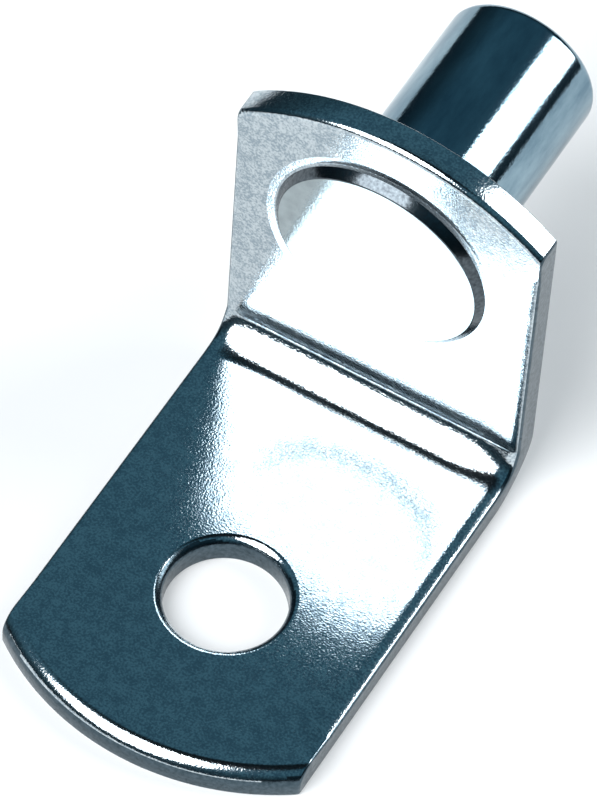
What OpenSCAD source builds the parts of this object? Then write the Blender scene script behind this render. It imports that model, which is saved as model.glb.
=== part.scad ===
// Bracket shelf support: a bent steel plate with a screw hole, and a headed pin riveted through it.
// The pin pushes into a hole in a cabinet's side, and the shelf lies on the tab against the flange.
// The origin is on the pin's axis at the plate's back face. +Y runs out along the pin, and +Z is up.

/* [Plate] */
// Width of the plate
plate_w = 12.7; // [11.5:0.1:20]
// Thickness of the sheet steel
sheet_t = 1.2; // [0.8:0.05:1.8]
// Inside radius of the bend between the tab and the flange
bend_r = 1.6; // [0.8:0.1:2.4]
// Radius that punching rolls over on the rims of the upper and inner faces
rim_r = 0.35; // [0.1:0.05:0.6]

/* [Tab] */
// Length of the tab, from the flange's inner face to the tab's corners
tab_len = 15.9; // [14:0.1:30]
// How far the tab's curved end stands out past its corners
tab_bow = 2.1; // [0.5:0.1:4]
// Diameter of the screw hole
hole_d = 4.7; // [3:0.1:6]
// From the flange's inner face to the axis of the screw hole
hole_reach = 10.5; // [7:0.1:10.8]

/* [Flange] */
// Height of the flange, from the tab's upper face to the flange's corners
flange_h = 13.1; // [12:0.1:24]
// How far the flange's curved top stands up past its corners
flange_bow = 2.35; // [1.5:0.05:4]

/* [Pin] */
// Diameter of the pin
pin_d = 6.2; // [4:0.05:7.4]
// Length of pin that stands out of the flange's back face
pin_len = 9.4; // [5:0.1:20]
// Height of the pin's axis above the tab's upper face
pin_rise = 8.9; // [8:0.1:9.2]
// Radius of the edge round the pin's free end
pin_edge_r = 0.4; // [0.1:0.05:1]
// How far the neck, which is pressed into the flange, stands out from the pin's side
neck_swell = 0.2; // [0.05:0.05:0.3]
// Diameter of the flat head on the flange's inner face
head_d = 8.9; // [8.2:0.1:10.5]
// Thickness of the head
head_t = 0.35; // [0.35:0.05:1.2]
// Radius of the edge round the head's face
head_edge_r = 0.2; // [0.05:0.05:0.3]

/* [Hidden] */
$fn = 96;
cut = 0.5;                                // how far a cutter runs past the faces that it trims
half_w = plate_w / 2;
inner_y = -sheet_t;                       // the flange's inner face
top_z = -pin_rise;                        // the tab's upper face
bend_y = inner_y - bend_r;                // the bend's axis, where the flat tab begins
bend_z = top_z + bend_r;                  // the bend's axis, where the flat flange begins
neck_d = pin_d + 2 * neck_swell;

// Radius of an arc that spans the plate's width and rises by bow
function bow_radius(bow) = (half_w ^ 2 + bow ^ 2) / (2 * bow);

// What a round of radius r takes off a square corner at the drawing's origin
module corner_waste(r) {
    difference() {
        translate([-r, -r])
            square(r + cut);
        translate([-r, -r])
            circle(r);
    }
}

// A strip of the plate from Y = 0, square at its root and bowed at its end
module strip_outline(length, bow) {
    arc_r = bow_radius(bow);
    translate([-half_w, 0])
        square([plate_w, length]);
    intersection() {
        translate([0, length + bow - arc_r])
            circle(arc_r);
        translate([-half_w, length])
            square([plate_w, bow + cut]);
    }
}

// The rims that punching rolls over, along a strip's two sides and its bowed end
module strip_rims(length, bow) {
    arc_r = bow_radius(bow);
    past_corner = 4;                      // degrees
    sweep = 2 * (asin(half_w / arc_r) + past_corner);
    for (side = [0, 1])
        mirror([side, 0, 0])
            translate([half_w, length + cut, 0])
                rotate([90, 0, 0])
                    linear_extrude(length + cut)
                        corner_waste(rim_r);
    translate([0, length + bow - arc_r, 0])
        rotate([0, 0, 90 - sweep / 2])
            rotate_extrude(angle = sweep)
                translate([arc_r, 0])
                    corner_waste(rim_r);
}

// A flat strip of the sheet, with its rolled face at Z = 0 and the sheet below it
module strip(length, bow) {
    difference() {
        translate([0, 0, -sheet_t])
            linear_extrude(sheet_t)
                strip_outline(length, bow);
        strip_rims(length, bow);
    }
}

// The quarter turn between the tab and the flange, round the bend's axis
module bend() {
    translate([0, bend_y, bend_z])
        rotate([90, 0, 90])
            rotate([0, 0, -90])
                rotate_extrude(angle = 90)
                    difference() {
                        translate([bend_r, -half_w])
                            square([sheet_t, plate_w]);
                        for (side = [0, 1])
                            mirror([0, side])
                                translate([bend_r, half_w])
                                    mirror([1, 0])
                                        corner_waste(rim_r);
                    }
}

// The screw hole, with its rolled upper rim
module screw_hole() {
    translate([0, inner_y - hole_reach, top_z]) {
        translate([0, 0, -sheet_t - cut])
            cylinder(d = hole_d, h = sheet_t + 2 * cut);
        rotate_extrude()
            translate([hole_d / 2, 0])
                mirror([1, 0])
                    corner_waste(rim_r);
    }
}

module tab() {
    difference() {
        translate([0, bend_y, top_z])
            rotate([0, 0, 180])
                strip(tab_len - bend_r, tab_bow);
        screw_hole();
    }
}

// The flange is bored to the neck's own size, because riveting swells the neck to fill the hole
module flange() {
    difference() {
        translate([0, inner_y, bend_z])
            rotate([90, 0, 0])
                strip(flange_h - bend_r, flange_bow);
        translate([0, inner_y - cut, 0])
            rotate([-90, 0, 0])
                cylinder(d = neck_d, h = sheet_t + 2 * cut);
    }
}

// Half section of the pin along its axis, which is the drawing's Y axis, from the head to the tip.
// The head seats on the flange's inner face, and the neck ends level with the back face at Y = 0.
module pin_half_section() {
    difference() {
        translate([0, inner_y - head_t])
            square([head_d / 2, head_t]);
        translate([head_d / 2, inner_y - head_t])
            mirror([0, 1])
                corner_waste(head_edge_r);
    }
    translate([0, inner_y])
        square([neck_d / 2, sheet_t]);
    difference() {
        square([pin_d / 2, pin_len]);
        translate([pin_d / 2, pin_len])
            corner_waste(pin_edge_r);
    }
}

module bracket() {
    color("silver") {
        tab();
        bend();
        flange();
    }
}

module pin() {
    color("lightgray")
        rotate([-90, 0, 0])
            rotate_extrude()
                pin_half_section();
}

bracket();
pin();
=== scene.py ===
"""A bracket shelf support: a plated steel plate bent to a tab and a flange, with a headed pin riveted in."""
import math

import bmesh
import bpy
from mathutils import Matrix, Vector


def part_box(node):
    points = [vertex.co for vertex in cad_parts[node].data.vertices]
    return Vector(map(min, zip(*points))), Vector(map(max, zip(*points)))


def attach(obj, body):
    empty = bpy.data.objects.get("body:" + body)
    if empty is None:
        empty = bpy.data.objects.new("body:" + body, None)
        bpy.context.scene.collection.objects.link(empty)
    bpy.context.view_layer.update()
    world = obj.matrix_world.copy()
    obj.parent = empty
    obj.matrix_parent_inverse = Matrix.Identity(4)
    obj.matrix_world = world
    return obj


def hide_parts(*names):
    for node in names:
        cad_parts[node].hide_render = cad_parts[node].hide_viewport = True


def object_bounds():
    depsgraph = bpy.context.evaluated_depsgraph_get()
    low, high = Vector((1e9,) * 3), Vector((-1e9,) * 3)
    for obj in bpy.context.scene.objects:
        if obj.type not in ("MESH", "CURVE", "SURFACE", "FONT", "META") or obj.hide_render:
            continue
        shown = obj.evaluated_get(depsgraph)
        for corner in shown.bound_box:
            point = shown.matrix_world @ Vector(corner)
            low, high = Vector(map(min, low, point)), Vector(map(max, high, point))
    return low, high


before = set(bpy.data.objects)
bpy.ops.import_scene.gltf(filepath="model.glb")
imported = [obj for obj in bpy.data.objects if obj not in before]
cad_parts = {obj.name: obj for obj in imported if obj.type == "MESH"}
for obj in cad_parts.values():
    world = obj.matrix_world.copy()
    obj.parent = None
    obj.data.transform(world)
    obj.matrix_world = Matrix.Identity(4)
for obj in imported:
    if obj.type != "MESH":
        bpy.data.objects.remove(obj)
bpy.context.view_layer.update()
plate_low, plate_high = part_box("bracket")
pin_tip_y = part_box("pin")[1].y

# Sizes are in metres. The origin is on the pin's axis at the flange's back face, +Y runs out along the pin,
# and +Z is up from the tab.
MM = 0.001
HALF_W = plate_high.x
SHEET_T = 1.2 * MM
INNER_Y = -SHEET_T                        # the flange's inner face
TAB_UNDER_Z = plate_low.z
TAB_TOP_Z = TAB_UNDER_Z + SHEET_T
TAB_BOW = 2.1 * MM                        # how far the tab's curved end stands out past its corners
FLANGE_BOW = 2.35 * MM                    # the same for the flange's curved top
HOLE_R = 2.35 * MM                        # the screw hole
HOLE_Y = INNER_Y - 10.5 * MM
PIN_R = 3.1 * MM
NECK_R = 3.3 * MM                         # the part of the pin that fills the hole in the flange
HEAD_FACE_R = 4.16 * MM                   # the head tapers from its foot to its face
HEAD_FOOT_R = 4.42 * MM
HEAD_T = 0.27 * MM
HEAD_OFFSET = Vector((-0.11, 0, -0.06)) * MM   # riveting left the head a little off the pin's axis
HEAD_TILT = 1.5                           # degrees, so that its top stands out the most
PIN_TIP_EDGE = 0.4 * MM
PIN_ROOT_EDGE = 0.07 * MM
HEAD_EDGE = 0.05 * MM

# The bend starts softly, widens, and ends in tight arcs at the flange: degrees turned, inside radius, steps
BEND_ARCS = [(8, 0.70 * MM, 3), (14, 1.50 * MM, 6), (32, 2.18 * MM, 12), (8, 0.95 * MM, 3),
             (12, 0.07 * MM, 2), (16, 0.45 * MM, 5)]

# Shearing draws the sheet's upper face down along the plate's two sides, by more the nearer the side
DRAW_W = 0.60 * MM
DRAW_STEEPEST = 19                        # degrees, at the side
DRAW_STEPS = 4
DRAW_LINES = [DRAW_W * step / DRAW_STEPS for step in range(DRAW_STEPS, 0, -1)]
DRAW_FADES_Y = (-16.2 * MM, -14.9 * MM)   # gone at the first place, whole from the second
DRAW_FADES_Z = (3.7 * MM, 2.7 * MM)
DROOP_W = 1.8 * MM                        # the tab's right side droops from further in, too
DROOP_STEEPEST = 7                        # degrees, at the side

# Bending dents the two ends of its inner face: by side, how far in from it and how deep at it
BEND_DENTS = {1: (2.2 * MM, 0.20 * MM), -1: (1.3 * MM, 0.14 * MM)}
DENT_LINES = [2.2 * MM, 1.8 * MM, 1.4 * MM, 1.0 * MM]
SIDE_LINES = DENT_LINES + DRAW_LINES + [0]   # how far in the lines of corners run, to the side itself

# Rolled rims, as shares of the widest, which is the tab's end
ROLL = 0.62 * MM
ROLL_SHARE = {"tab end": 1.0, "hole": 0.58, "flange top": 0.4, "side": 0.14, "burr": 0.11}
ROLL_STEPS = 8
ROLL_SHAPE = 0.46                         # a little flatter than a quarter round
ROLLED_FROM = 35                          # degrees that an edge turns

# Riveting presses a shallow dish round the head
DISH_R = 4.90 * MM
DISH_FLOOR_R = 4.60 * MM
DISH_DEPTH = 0.036 * MM

# How near counts as there
WELD = 0.001 * MM                         # corners nearer than this are one
ON_RING = 0.002 * MM                      # on one ring of the bend, or one step of the dish
ON_LINE = 0.01 * MM                       # on a line, a circle or a face
ON_SKIN = 0.4 * MM                        # on the sheet's upper face, also where it is drawn down
STRAIGHT = 0.999                          # cosine, for a face that looks one way
LEAST_MOVE = 0.0005 * MM                  # smaller moves are left out

# How finely tools and pieces are rounded, and how far tools pass through the sheet
SIDES = 192
HOLE_SIDES = 128
BOW_SIDES = 360
CUT_DEPTH = 4 * SHEET_T


# ---------------------------------------------------------------- hand tools

def take(obj):
    """Selects one object and nothing else."""
    bpy.ops.object.select_all(action="DESELECT")
    obj.select_set(True)
    bpy.context.view_layer.objects.active = obj


def edit(obj):
    """Opens one object in edit mode."""
    take(obj)
    bpy.ops.object.mode_set(mode="EDIT")


def leave():
    """Closes edit mode."""
    bpy.ops.object.mode_set(mode="OBJECT")


def grip(obj, kind, test):
    """In edit mode, selects the faces, edges or corners that pass a test, and nothing else."""
    bpy.ops.mesh.select_mode(type=kind)
    bpy.ops.mesh.select_all(action="DESELECT")
    work = bmesh.from_edit_mesh(obj.data)
    found = 0
    for item in {"FACE": work.faces, "EDGE": work.edges, "VERT": work.verts}[kind]:
        if test(item):
            item.select_set(True)
            found += 1
    work.select_flush_mode()
    bmesh.update_edit_mesh(obj.data)
    assert found, f"nothing to grip on {obj.name}"


def facing(way, where=lambda centre: True):
    """A test for faces that look one way and lie where they should."""
    way = Vector(way)
    return lambda face: face.normal.dot(way) > STRAIGHT and where(face.calc_center_median())


def grow(move):
    """In edit mode, extrudes what is selected."""
    bpy.ops.mesh.extrude_region_move(TRANSFORM_OT_translate={"value": move})


def finish_modifier(obj, kind, name, **settings):
    """Adds a modifier, sets it and applies it."""
    take(obj)
    modifier = obj.modifiers.new(name, kind)
    for key, value in settings.items():
        setattr(modifier, key, value)
    bpy.ops.object.modifier_apply(modifier=modifier.name)


def cut_with(obj, tool, how):
    """Cuts a piece with a tool, and throws the tool away."""
    finish_modifier(obj, "BOOLEAN", how.lower(), operation=how, solver="EXACT", object=tool)
    bpy.data.objects.remove(tool, do_unlink=True)


def settle(obj, name):
    """Names a new primitive and puts its place into its mesh."""
    take(obj)
    bpy.ops.object.transform_apply(location=True, rotation=True, scale=True)
    obj.name = obj.data.name = name
    return obj


def block(name, low, high):
    """A block from its lowest to its highest corner."""
    low, high = Vector(low), Vector(high)
    bpy.ops.object.select_all(action="DESELECT")
    bpy.ops.mesh.primitive_cube_add(size=1, location=(low + high) / 2, scale=high - low)
    return settle(bpy.context.object, name)


def rod(name, radius, length, centre, axis="Z", sides=SIDES, far_radius=None):
    """A round bar or a cone along an axis. The far radius is at the axis's positive end."""
    turn = {"Z": (0, 0, 0), "Y": (-math.pi / 2, 0, 0)}[axis]
    bpy.ops.object.select_all(action="DESELECT")
    bpy.ops.mesh.primitive_cone_add(vertices=sides, radius1=radius, depth=length, location=centre,
                                    rotation=turn, radius2=radius if far_radius is None else far_radius)
    return settle(bpy.context.object, name)


# ---------------------------------------------------------------- the plate's curves

def bow_radius(bow):
    """Radius of an arc that spans the plate's width and rises by bow."""
    return (HALF_W ** 2 + bow ** 2) / (2 * bow)


def fall(width, steepest, share):
    """How far a face falls that curves down over a width, this share of the way to its steepest edge."""
    return 0.5 * width * math.tan(math.radians(steepest)) * share ** 2


def droop(line):
    """How far the tab's right side droops, this far in from it."""
    return fall(DROOP_W, DROOP_STEEPEST, max(0, 1 - line / DROOP_W))


def bend_run():
    """How far the bend reaches along the tab, which is from its start to the flange's inner face."""
    run = turned = 0.0
    for degrees, radius, _ in BEND_ARCS:
        after = turned + math.radians(degrees)
        run += radius * (math.sin(after) - math.sin(turned))
        turned = after
    return run


BEND_RUN = bend_run()
BEND_START_Y = INNER_Y - BEND_RUN


def into_metal(turned):
    """The way from the bend's inner face into the metal, where the bend has turned this far."""
    return Vector((0, math.sin(turned), -math.cos(turned)))


def bend_arcs():
    """The bend's arcs from the tab up: each one's axis, start angle, own angle, radius and steps."""
    corner = Vector((0, BEND_START_Y, TAB_TOP_Z))
    turned = 0.0
    for degrees, radius, steps in BEND_ARCS:
        axis = corner - into_metal(turned) * radius
        angle = math.radians(degrees)
        yield axis, turned, angle, radius, steps
        turned += angle
        corner = axis + into_metal(turned) * radius


def bend_rings():
    """Each ring of the bend's inner face: its place, the way into the metal, and its share of the bend."""
    whole = sum(math.radians(degrees) * radius for degrees, radius, _ in BEND_ARCS)
    passed = 0.0
    for axis, turned, angle, radius, steps in bend_arcs():
        for step in range(1, steps + 1):
            inward = into_metal(turned + angle * step / steps)
            yield axis + inward * radius, inward, (passed + radius * angle * step / steps) / whole
        passed += radius * angle


def dent(side, line, share):
    """How far the bend's inner face goes in, at this distance from a side and at this share of the bend.
    The droop of the tab's right side is let out along the bend."""
    reach, depth = BEND_DENTS[side]
    pressed = depth * math.sin(math.pi * share) ** 2 * max(0, 1 - line / reach) ** 2
    return pressed - droop(line) * share if side > 0 else pressed


# ---------------------------------------------------------------- bracket

def cut_across(y):
    """In edit mode, cuts a loop round the whole strip."""
    bpy.ops.mesh.select_all(action="SELECT")
    bpy.ops.mesh.bisect(plane_co=(0, y, 0), plane_no=(0, 1, 0), threshold=WELD)


def cut_along(strip, line):
    """In edit mode, cuts two lines into the upper face, this far in from its two sides."""
    for side in (-1, 1):
        grip(strip, "FACE", facing((0, 0, 1), lambda c: c.y > DRAW_FADES_Y[0]))
        bpy.ops.mesh.bisect(plane_co=(side * (HALF_W - line), 0, 0), plane_no=(1, 0, 0), threshold=WELD)


def press_sides(strip, where, towards):
    """In edit mode, moves the lines of corners along the two drawn sides, by more the nearer the side."""
    for side in (-1, 1):
        for step in range(1, DRAW_STEPS + 1):
            share = step / DRAW_STEPS
            x = side * (HALF_W - DRAW_W * (1 - share))
            grip(strip, "VERT", lambda vert: abs(vert.co.x - x) < ON_LINE and where(vert.co))
            bpy.ops.transform.translate(value=Vector(towards) * fall(DRAW_W, DRAW_STEEPEST, share))


def draw_down(strip):
    """Rounds the strip's upper face gently down to its two sides, short of the tab's end."""
    def on_top(co):
        return co.y > DRAW_FADES_Y[1] - ON_LINE and co.z > TAB_TOP_Z - ON_SKIN

    edit(strip)
    for y in DRAW_FADES_Y:
        cut_across(y)
    for line in DRAW_LINES + DENT_LINES:
        cut_along(strip, line)
    press_sides(strip, on_top, (0, 0, -1))
    for line in SIDE_LINES:
        if line < DROOP_W:
            grip(strip, "VERT", lambda vert: abs(vert.co.x - HALF_W + line) < ON_LINE and on_top(vert.co))
            bpy.ops.transform.translate(value=(0, 0, -droop(line)))
    leave()


def bow_tab(strip):
    """Rounds the tab's end to its bow."""
    radius = bow_radius(TAB_BOW)
    centre = (0, plate_low.y + radius, TAB_TOP_Z)
    cut_with(strip, rod("tab cutter", radius, CUT_DEPTH, centre, sides=BOW_SIDES), "INTERSECT")


def on_ring(place, inward, x):
    """A test for the corner of one ring of the bend's inner face that is on one line."""
    def test(vert):
        off = vert.co - place
        deep = off.dot(inward)
        beside = (off - inward * deep).yz.length
        return abs(vert.co.x - x) < ON_LINE and beside < ON_RING and -ON_LINE < deep < ON_SKIN
    return test


def dent_bend(strip):
    """In edit mode, dents the two ends of the bend's inner face, most in the middle of the bend."""
    for place, inward, share in bend_rings():
        for side in BEND_DENTS:
            for line in SIDE_LINES:
                move = dent(side, line, share)
                if abs(move) >= LEAST_MOVE:
                    grip(strip, "VERT", on_ring(place, inward, side * (HALF_W - line)))
                    bpy.ops.transform.translate(value=inward * move)


def bend_up(strip):
    """Turns the tab's root up, one arc after another, and draws the flange up from it."""
    edit(strip)
    grip(strip, "FACE", facing((0, 1, 0), lambda c: abs(c.y - BEND_START_Y) < ON_LINE))
    for axis, _, angle, _, steps in bend_arcs():
        # a spin about -X turns the root up
        bpy.ops.mesh.spin(steps=steps, angle=angle, center=axis, axis=(-1, 0, 0))
    dent_bend(strip)
    bend_top_z = list(bend_rings())[-1][0].z
    grip(strip, "FACE", lambda face: all(abs(vert.co.z - bend_top_z) < ON_RING for vert in face.verts))
    fade_high, fade_low = DRAW_FADES_Z
    grow((0, 0, fade_low - bend_top_z))
    grow((0, 0, fade_high - fade_low))
    press_sides(strip, lambda co: abs(co.z - fade_high) < ON_LINE and co.y < INNER_Y + ON_SKIN, (0, -1, 0))
    grip(strip, "FACE", facing((0, 0, 1), lambda c: abs(c.z - fade_high) < ON_LINE))
    spare = 1 * MM
    grow((0, 0, plate_high.z + spare - fade_high))
    bpy.ops.mesh.select_all(action="SELECT")
    bpy.ops.mesh.remove_doubles(threshold=WELD)
    bpy.ops.mesh.normals_make_consistent(inside=False)
    leave()


def bow_flange(strip):
    """Rounds the flange's top to its bow, and clears the needless edges on its inner face."""
    radius = bow_radius(FLANGE_BOW)
    centre = (0, plate_low.y / 2, plate_high.z - radius)
    cutter = rod("flange cutter", radius, -4 * plate_low.y, centre, axis="Y", sides=BOW_SIDES)
    cut_with(strip, cutter, "INTERSECT")
    still_flat = math.radians(0.2)
    edit(strip)
    grip(strip, "FACE", facing((0, -1, 0)))
    bpy.ops.mesh.dissolve_limited(angle_limit=still_flat)
    leave()


def punch(strip):
    """The screw hole, the dish that riveting leaves, and the hole that the pin's neck fills."""
    hole = rod("screw punch", HOLE_R, CUT_DEPTH, (0, HOLE_Y, TAB_TOP_Z), sides=HOLE_SIDES)
    cut_with(strip, hole, "DIFFERENCE")
    dish = rod("rivet dish", 2 * DISH_R - DISH_FLOOR_R, 2 * DISH_DEPTH, (0, INNER_Y, 0), axis="Y",
               far_radius=DISH_FLOOR_R)
    cut_with(strip, dish, "DIFFERENCE")
    cut_with(strip, rod("neck punch", NECK_R, CUT_DEPTH, (0, 0, 0), axis="Y"), "DIFFERENCE")


def sharpen_dish(strip):
    """Keeps the dish's two round edges crisp."""
    def on_dish(vert):
        return any(abs(vert.co.xz.length - radius) < ON_LINE and abs(vert.co.y - y) < ON_RING
                   for radius, y in ((DISH_R, INNER_Y), (DISH_FLOOR_R, INNER_Y + DISH_DEPTH)))

    edit(strip)
    grip(strip, "EDGE", lambda edge: all(on_dish(vert) for vert in edge.verts))
    bpy.ops.mesh.mark_sharp()
    leave()


def on_rolled_side(place):
    """True on the half of the sheet that is rolled: the upper on the tab, and the inner beyond it.
    The bend isn't quite round, so its middle is taken a little further out."""
    half, half_in_bend = 0.5 * SHEET_T, 0.6 * SHEET_T
    if place.y < BEND_START_Y + ON_LINE:
        return place.z > TAB_TOP_Z - half
    out, up = place.y - BEND_START_Y, place.z - (TAB_TOP_Z + BEND_RUN)
    if up < 0:
        return math.hypot(out, up) < BEND_RUN + half_in_bend
    return place.y < INNER_Y + half


def rim_share(edge):
    """How far an edge is rolled, as a share of the widest roll, or 0 for an edge that stays."""
    if len(edge.link_faces) != 2 or edge.calc_face_angle() < math.radians(ROLLED_FROM):
        return 0.0
    middle = (edge.verts[0].co + edge.verts[1].co) / 2
    if math.hypot(middle.x, middle.z) < DISH_R + ON_LINE:
        return 0.0
    if not on_rolled_side(middle):
        return ROLL_SHARE["burr"]
    if abs(middle.x) > HALF_W - ON_LINE:
        return ROLL_SHARE["side"]
    if math.hypot(middle.x, middle.y - HOLE_Y) < HOLE_R + ON_LINE:
        return ROLL_SHARE["hole"]
    return ROLL_SHARE["flange top"] if middle.z > 0 else ROLL_SHARE["tab end"]


def roll(strip, name, wanted):
    """Rolls the rims whose share is wanted."""
    weights = strip.data.attributes.get("bevel_weight_edge")
    if weights is None:
        weights = strip.data.attributes.new("bevel_weight_edge", "FLOAT", "EDGE")
    work = bmesh.new()
    work.from_mesh(strip.data)
    shares = [rim_share(edge) for edge in work.edges]
    work.free()
    weights.data.foreach_set("value", [share if wanted(share) else 0.0 for share in shares])
    finish_modifier(strip, "BEVEL", name, limit_method="WEIGHT", width=ROLL, segments=ROLL_STEPS,
                    profile=ROLL_SHAPE, use_clamp_overlap=False, miter_outer="MITER_SHARP")


def roll_rims(strip):
    """Rolls the punched rims first, and then breaks the edges that are left along the sides and the back."""
    broken = max(ROLL_SHARE["side"], ROLL_SHARE["burr"])
    roll(strip, "rolled rims", lambda share: share > broken)
    roll(strip, "broken edges", lambda share: 0 < share <= broken)


def make_plate():
    """The bracket, from a flat strip to its rolled rims."""
    plate = block("plate", (-HALF_W, plate_low.y, TAB_UNDER_Z), (HALF_W, BEND_START_Y, TAB_TOP_Z))
    draw_down(plate)
    bow_tab(plate)
    bend_up(plate)
    bow_flange(plate)
    punch(plate)
    sharpen_dish(plate)
    roll_rims(plate)
    return plate


# ---------------------------------------------------------------- pin

def round_edge(y, radius, off_axis=Vector((0, 0, 0))):
    """A test for the edges of a circle round the pin's axis, or off it."""
    def test(edge):
        return all(abs(vert.co.y - y) < ON_LINE and abs((vert.co - off_axis).xz.length - radius) < ON_LINE
                   for vert in edge.verts)
    return test


def make_pin():
    """The pin, from its head along +Y to its tip."""
    foot_y = INNER_Y + DISH_DEPTH
    face_y = INNER_Y - HEAD_T
    centre = HEAD_OFFSET + Vector((0, (foot_y + face_y) / 2, 0))
    pin = rod("riveted_pin", HEAD_FACE_R, foot_y - face_y, centre, axis="Y", far_radius=HEAD_FOOT_R)
    edit(pin)
    grip(pin, "FACE", facing((0, 1, 0)))
    bpy.ops.mesh.inset(thickness=HEAD_FOOT_R - NECK_R)
    bpy.ops.transform.translate(value=-HEAD_OFFSET)
    grow((0, -foot_y, 0))
    bpy.ops.mesh.inset(thickness=NECK_R - PIN_R)
    grow((0, pin_tip_y, 0))
    for place, width, steps in ((round_edge(pin_tip_y, PIN_R), PIN_TIP_EDGE, 6),
                                (round_edge(0, PIN_R), PIN_ROOT_EDGE, 3),
                                (round_edge(face_y, HEAD_FACE_R, HEAD_OFFSET), HEAD_EDGE, 3)):
        grip(pin, "EDGE", place)
        bpy.ops.mesh.bevel(offset=width, segments=steps, profile=0.5, affect="EDGES", clamp_overlap=False)
    grip(pin, "VERT", lambda vert: vert.co.y < face_y + HEAD_EDGE + ON_LINE)
    # a negative turn brings the top of the face out, because rotate turns backwards with no window
    bpy.ops.transform.rotate(value=-math.radians(HEAD_TILT), orient_axis="X",
                             center_override=HEAD_OFFSET + Vector((0, face_y, 0)))
    leave()
    return pin


# ---------------------------------------------------------------- finishes

NOISE_LOW, NOISE_HIGH = 0.3, 0.7          # most of a noise's values lie between these


class Finish:
    """Builds a node material: each call adds a node and links its inputs."""

    def __init__(self, name):
        self.material = bpy.data.materials.new(name)
        self.material.use_nodes = True
        self.nodes = self.material.node_tree.nodes
        self.links = self.material.node_tree.links
        self.shader = self.nodes["Principled BSDF"]
        self.place = self.nodes.new("ShaderNodeTexCoord").outputs["Object"]

    def add(self, kind, inputs=None, **settings):
        """Adds a node, with a number, a colour or another node's output for each input."""
        node = self.nodes.new("ShaderNode" + kind)
        for key, value in settings.items():
            setattr(node, key, value)
        for key, value in (inputs or {}).items():
            self.feed(node.inputs[key], value)
        return node

    def feed(self, socket, value):
        """Links an output to a socket, or sets the socket's own value."""
        if isinstance(value, bpy.types.NodeSocket):
            self.links.new(value, socket)
        else:
            socket.default_value = value

    def maths(self, operation, first, second):
        """One sum on two numbers."""
        return self.add("Math", {0: first, 1: second}, operation=operation).outputs[0]

    def stretched(self, scale):
        """The place on the object, scaled along X, Y and Z."""
        return self.add("Mapping", {"Vector": self.place, "Scale": scale}).outputs["Vector"]

    def noise(self, size, detail=2.0, place=None, roughness=0.5):
        """Noise with features of about this size in metres."""
        return self.add("TexNoise", {"Vector": place or self.place, "Scale": 1 / size, "Detail": detail,
                                     "Roughness": roughness}).outputs["Fac"]

    def span(self, value, low, high):
        """Maps the middle of a noise's range to low..high."""
        return self.add("MapRange", {"Value": value, "From Min": NOISE_LOW, "From Max": NOISE_HIGH,
                                     "To Min": low, "To Max": high}).outputs["Result"]

    def mix_colour(self, share, first, second):
        """From the first colour to the second, by share."""
        node = self.add("Mix", data_type="RGBA")
        for socket, value in zip([s for s in node.inputs if s.enabled], (share, first, second)):
            self.feed(socket, value)
        return [s for s in node.outputs if s.enabled][0]

    def bump(self, height, depth, before=None):
        """Relief of this depth in metres, over what came before."""
        inputs = {"Height": height, "Strength": 1.0, "Distance": depth}
        if before is not None:
            inputs["Normal"] = before
        return self.add("Bump", inputs).outputs["Normal"]

    def metal(self, colour, roughness, relief):
        """Makes the surface metal all over, and returns the material."""
        self.shader.inputs["Metallic"].default_value = 1.0
        self.feed(self.shader.inputs["Base Color"], colour)
        self.feed(self.shader.inputs["Roughness"], roughness)
        self.feed(self.shader.inputs["Normal"], relief)
        return self.material


ZINC = (0.60, 0.66, 0.69, 1)
ZINC_DULL = (0.33, 0.40, 0.45, 1)
# Cut edges: darker than torn steel alone, partly painted shade for the dark surroundings that the edges
# reflect
CUT_METAL_SHADED = (0.09, 0.125, 0.15, 1)
CUT_METAL_SHADED_DULL = (0.045, 0.07, 0.085, 1)
# The pin: darker and bluer than the sheet's zinc, partly painted shade for the shadowed floor that it
# reflects
PIN_ZINC_SHADED = (0.27, 0.38, 0.44, 1)
PIN_ZINC_SHADED_DULL = (0.135, 0.22, 0.28, 1)
HEAD_ZINC = (0.42, 0.48, 0.50, 1)
HEAD_ZINC_DULL = (0.33, 0.38, 0.395, 1)
# The head's rim: painted shade where the head meets the flange
RIM_SHADE = (0.11, 0.13, 0.145, 1)
RIM_SHADE_DULL = (0.05, 0.06, 0.07, 1)
PALE_CARD = (0.93, 0.94, 0.95, 1)
PLAIN_WHITE = (1, 1, 1, 1)


def plated_sheet():
    """Bright blue-white zinc on rolled sheet: a fine satin grain that sparkles, with faint clouds."""
    f = Finish("plated sheet")
    clouds = f.noise(0.5 * MM, detail=4)
    grain = f.noise(0.08 * MM, detail=1.5)
    fleck = f.noise(0.09 * MM, detail=1)
    waves = f.noise(1.6 * MM, detail=1)
    worn = f.maths("ADD", f.span(clouds, -0.15, 0.75), f.span(fleck, -0.5, 0.9))
    relief = f.bump(grain, 0.0055 * MM, before=f.bump(waves, 0.006 * MM))
    return f.metal(f.mix_colour(worn, ZINC, ZINC_DULL), f.span(clouds, 0.085, 0.12), relief)


def cut_edge_and_shade():
    """The sheared edges: thin plating on torn steel, darkened further as painted shade for the dark
    surroundings that they reflect.
    """
    f = Finish("cut edge")
    tear = f.noise(0.16 * MM, detail=4)
    colour = f.mix_colour(f.span(tear, 0, 1), CUT_METAL_SHADED, CUT_METAL_SHADED_DULL)
    return f.metal(colour, f.span(tear, 0.16, 0.28), f.bump(tear, 0.008 * MM))


def turned_pin():
    """The plating on a turned pin, darker and bluer than the sheet's, partly its own tone and partly painted
    shade for the shadowed floor it reflects: rings from the tool, fine grain, and streaks along it.
    """
    f = Finish("turned pin")
    rings = f.noise(0.12 * MM, place=f.stretched((0.06, 1.0, 0.06)))
    grain = f.noise(0.12 * MM)
    streaks = f.noise(0.7 * MM, detail=5, place=f.stretched((1.0, 0.3, 1.0)), roughness=0.65)
    colour = f.mix_colour(f.span(streaks, 0, 1), PIN_ZINC_SHADED, PIN_ZINC_SHADED_DULL)
    relief = f.bump(grain, 0.0036 * MM, before=f.bump(rings, 0.0008 * MM))
    return f.metal(colour, f.span(streaks, 0.06, 0.13), relief)


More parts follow.
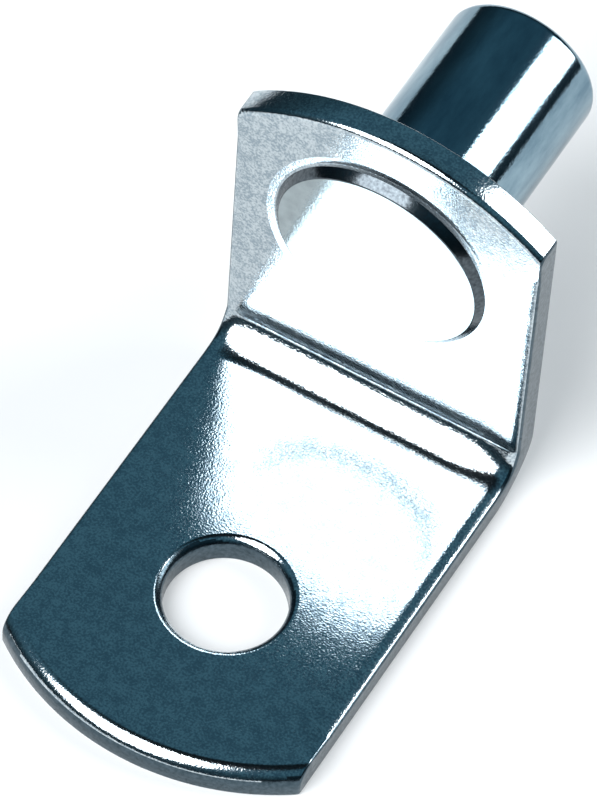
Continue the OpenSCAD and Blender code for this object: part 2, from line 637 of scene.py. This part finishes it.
def pressed_head():
    """The rivet head's face, which the riveting tool pressed smooth."""
    f = Finish("pressed head")
    clouds = f.noise(0.6 * MM, detail=4)
    grain = f.noise(0.1 * MM)
    colour = f.mix_colour(f.span(clouds, 0, 1), HEAD_ZINC, HEAD_ZINC_DULL)
    return f.metal(colour, f.span(clouds, 0.07, 0.11), f.bump(grain, 0.0022 * MM))


def shaded_head_rim():
    """The head's narrow rim, painted dark as shade where the head meets the flange."""
    f = Finish("head rim")
    tear = f.noise(0.12 * MM, detail=3)
    colour = f.mix_colour(f.span(tear, 0, 1), RIM_SHADE, RIM_SHADE_DULL)
    return f.metal(colour, f.span(tear, 0.12, 0.20), f.bump(tear, 0.003 * MM))


def floor_paint():
    """Pale card. The camera and the metal see a quarter of it as plain white, and its shadows stay light."""
    f = Finish("pale floor")
    f.shader.inputs["Base Color"].default_value = PALE_CARD
    f.shader.inputs["Roughness"].default_value = 0.9
    f.shader.inputs["Specular IOR Level"].default_value = 0.1
    path = f.add("LightPath").outputs
    seen = f.maths("MAXIMUM", path["Is Camera Ray"], path["Is Glossy Ray"])
    seen = f.maths("MAXIMUM", seen, path["Is Transmission Ray"])
    a_quarter = 0.25
    white_share = f.maths("MULTIPLY", seen, a_quarter)
    white = f.add("Emission", {"Color": PLAIN_WHITE, "Strength": 1.0}).outputs[0]
    mixed = f.add("MixShader", {0: white_share, 1: f.shader.outputs[0], 2: white}).outputs[0]
    f.links.new(mixed, f.nodes["Material Output"].inputs["Surface"])
    return f.material


def dress(obj, *materials):
    """Gives a piece its materials, in place of any that it had."""
    obj.data.materials.clear()
    for material in materials:
        obj.data.materials.append(material)


def dress_plate(plate):
    """Plated faces, with the cut edges in a darker finish, which starts where a face leans off the skin, so
    that it also covers the outer part of the rolled rims as painted shade.
    """
    # How far a face leans before it takes the dark finish: past the cut edges this reaches onto the rolled
    # rims as painted shade for the dark surroundings they reflect
    side_lean, top_side_lean, end_lean = 0.42, 0.75, 0.5
    dress(plate, plated_sheet(), cut_edge_and_shade())
    for face in plate.data.polygons:
        sideways, upright = abs(face.normal.x), abs(face.normal.z)
        cut_or_shaded = sideways > side_lean
        if face.center.y < BEND_START_Y:
            cut_or_shaded = cut_or_shaded or upright < end_lean
        elif face.center.z > plate_high.z - FLANGE_BOW:
            cut_or_shaded = sideways > top_side_lean
        face.material_index = 1 if cut_or_shaded else 0


def dress_pin(pin):
    """A turned pin with a pressed head. The head's rim, which starts within its rounded edge, is painted
    darker as shade where the head meets the flange.
    """
    shaded_rim_from = HEAD_FACE_R - 0.03 * MM
    dress(pin, turned_pin(), pressed_head(), shaded_head_rim())
    for face in pin.data.polygons:
        if face.center.y < INNER_Y + DISH_DEPTH:
            on_shaded_rim = (face.center - HEAD_OFFSET).xz.length > shaded_rim_from
            face.material_index = 2 if on_shaded_rim else 1


def smooth(obj):
    """Smooth shading with the flats kept flat."""
    sharp_from = math.radians(40)
    take(obj)
    bpy.ops.object.shade_smooth_by_angle(angle=sharp_from)
    finish_modifier(obj, "WEIGHTED_NORMAL", "flat faces first", mode="FACE_AREA", weight=50, keep_sharp=True)


# ---------------------------------------------------------------- studio

# The studio's colours by height, from the horizon to straight overhead
ROOM_COLOURS = [(0.0, (0.014, 0.026, 0.035, 1)), (0.35, (0.024, 0.06, 0.08, 1)),
                (0.65, (0.055, 0.14, 0.19, 1)), (0.87, (0.055, 0.14, 0.19, 1)),
                (0.96, (0.006, 0.012, 0.016, 1))]

LAMP_DISTANCE = 1.2
FLOOR_SIZE = 6
FLOOR_GAP = 0.02 * MM                     # under the tab

# The camera: its side and its turn about its own axis in degrees, how far from the object's middle it aims,
# and its distance
CAMERA_AZIMUTH = 26.84
CAMERA_ELEVATION = 54.97
CAMERA_TURN = 4.41
CAMERA_AIM = Vector((-0.22, -1.71, -1.0)) * MM
CAMERA_DISTANCE = 257.0                   # this, the lens and the sensor are in mm
LENS = 317.3
SENSOR = 36


def direction(azimuth, elevation):
    """A unit vector. Azimuth 0 is towards -Y, the shelf's side, and it turns towards +X."""
    a, e = math.radians(azimuth), math.radians(elevation)
    return Vector((math.sin(a) * math.cos(e), -math.cos(a) * math.cos(e), math.sin(e)))


def softbox(name, azimuth, elevation, width, height, level):
    """An oval lamp that faces the object. Width and height are the degrees that it spans."""
    towards = direction(azimuth, elevation)
    lamp = bpy.data.lights.new(name, "AREA")
    lamp.shape = "ELLIPSE"
    lamp.size = 2 * LAMP_DISTANCE * math.tan(math.radians(width / 2))
    lamp.size_y = 2 * LAMP_DISTANCE * math.tan(math.radians(height / 2))
    lamp.energy = level * math.pi * lamp.size * lamp.size_y
    holder = bpy.data.objects.new(name, lamp)
    bpy.context.scene.collection.objects.link(holder)
    holder.location = towards * LAMP_DISTANCE
    holder.rotation_euler = towards.to_track_quat("Z", "Y").to_euler()


def dark_room():
    """The world: a dim blue-green studio, coloured by height."""
    world = bpy.data.worlds.new("studio")
    bpy.context.scene.world = world
    world.use_nodes = True
    nodes, links = world.node_tree.nodes, world.node_tree.links
    place = nodes.new("ShaderNodeTexCoord").outputs["Generated"]
    split = nodes.new("ShaderNodeSeparateXYZ")
    ramp = nodes.new("ShaderNodeValToRGB")
    elements = ramp.color_ramp.elements
    while len(elements) < len(ROOM_COLOURS):
        elements.new(0.5)
    for element, (height, colour) in zip(elements, ROOM_COLOURS):
        element.position = height
        element.color = colour
    links.new(place, split.inputs[0])
    links.new(split.outputs["Z"], ramp.inputs["Fac"])
    links.new(ramp.outputs["Color"], nodes["Background"].inputs["Color"])
    nodes["Background"].inputs["Strength"].default_value = 1.0


def lay_floor():
    """The floor just under the tab. It isn't part of the object."""
    bpy.ops.object.select_all(action="DESELECT")
    bpy.ops.mesh.primitive_plane_add(size=FLOOR_SIZE, location=(0, 0, TAB_UNDER_Z - FLOOR_GAP))
    floor = settle(bpy.context.object, "floor")
    dress(floor, floor_paint())


def set_camera():
    """A long lens on the shelf's side, from above and to the right."""
    low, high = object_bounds()
    aim = (Vector(low) + Vector(high)) / 2 + CAMERA_AIM
    towards = direction(CAMERA_AZIMUTH, CAMERA_ELEVATION)
    lens = bpy.data.cameras.new("camera")
    lens.sensor_width = SENSOR
    lens.lens = LENS
    lens.clip_start = 0.01
    lens.clip_end = 50
    camera = bpy.data.objects.new("camera", lens)
    bpy.context.scene.collection.objects.link(camera)
    turn = Matrix.Rotation(math.radians(CAMERA_TURN), 4, "Z")
    camera.matrix_world = (Matrix.Translation(aim + towards * CAMERA_DISTANCE * MM) @
                           towards.to_track_quat("Z", "Y").to_matrix().to_4x4() @ turn)
    bpy.context.scene.camera = camera


def light_studio():
    """Two softboxes in a dark room."""
    dark_room()
    softbox("front softbox", azimuth=-22, elevation=47, width=46, height=53, level=5.6)
    softbox("back softbox", azimuth=132, elevation=32, width=26, height=42, level=5.5)
    bpy.context.scene.view_settings.view_transform = "Standard"


# ---------------------------------------------------------------- the part

set_camera()
lay_floor()
light_studio()

plate = make_plate()
dress_plate(plate)
smooth(plate)
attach(plate, "root")
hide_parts("bracket")

pin = make_pin()
dress_pin(pin)
smooth(pin)
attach(pin, "root")
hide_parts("pin")
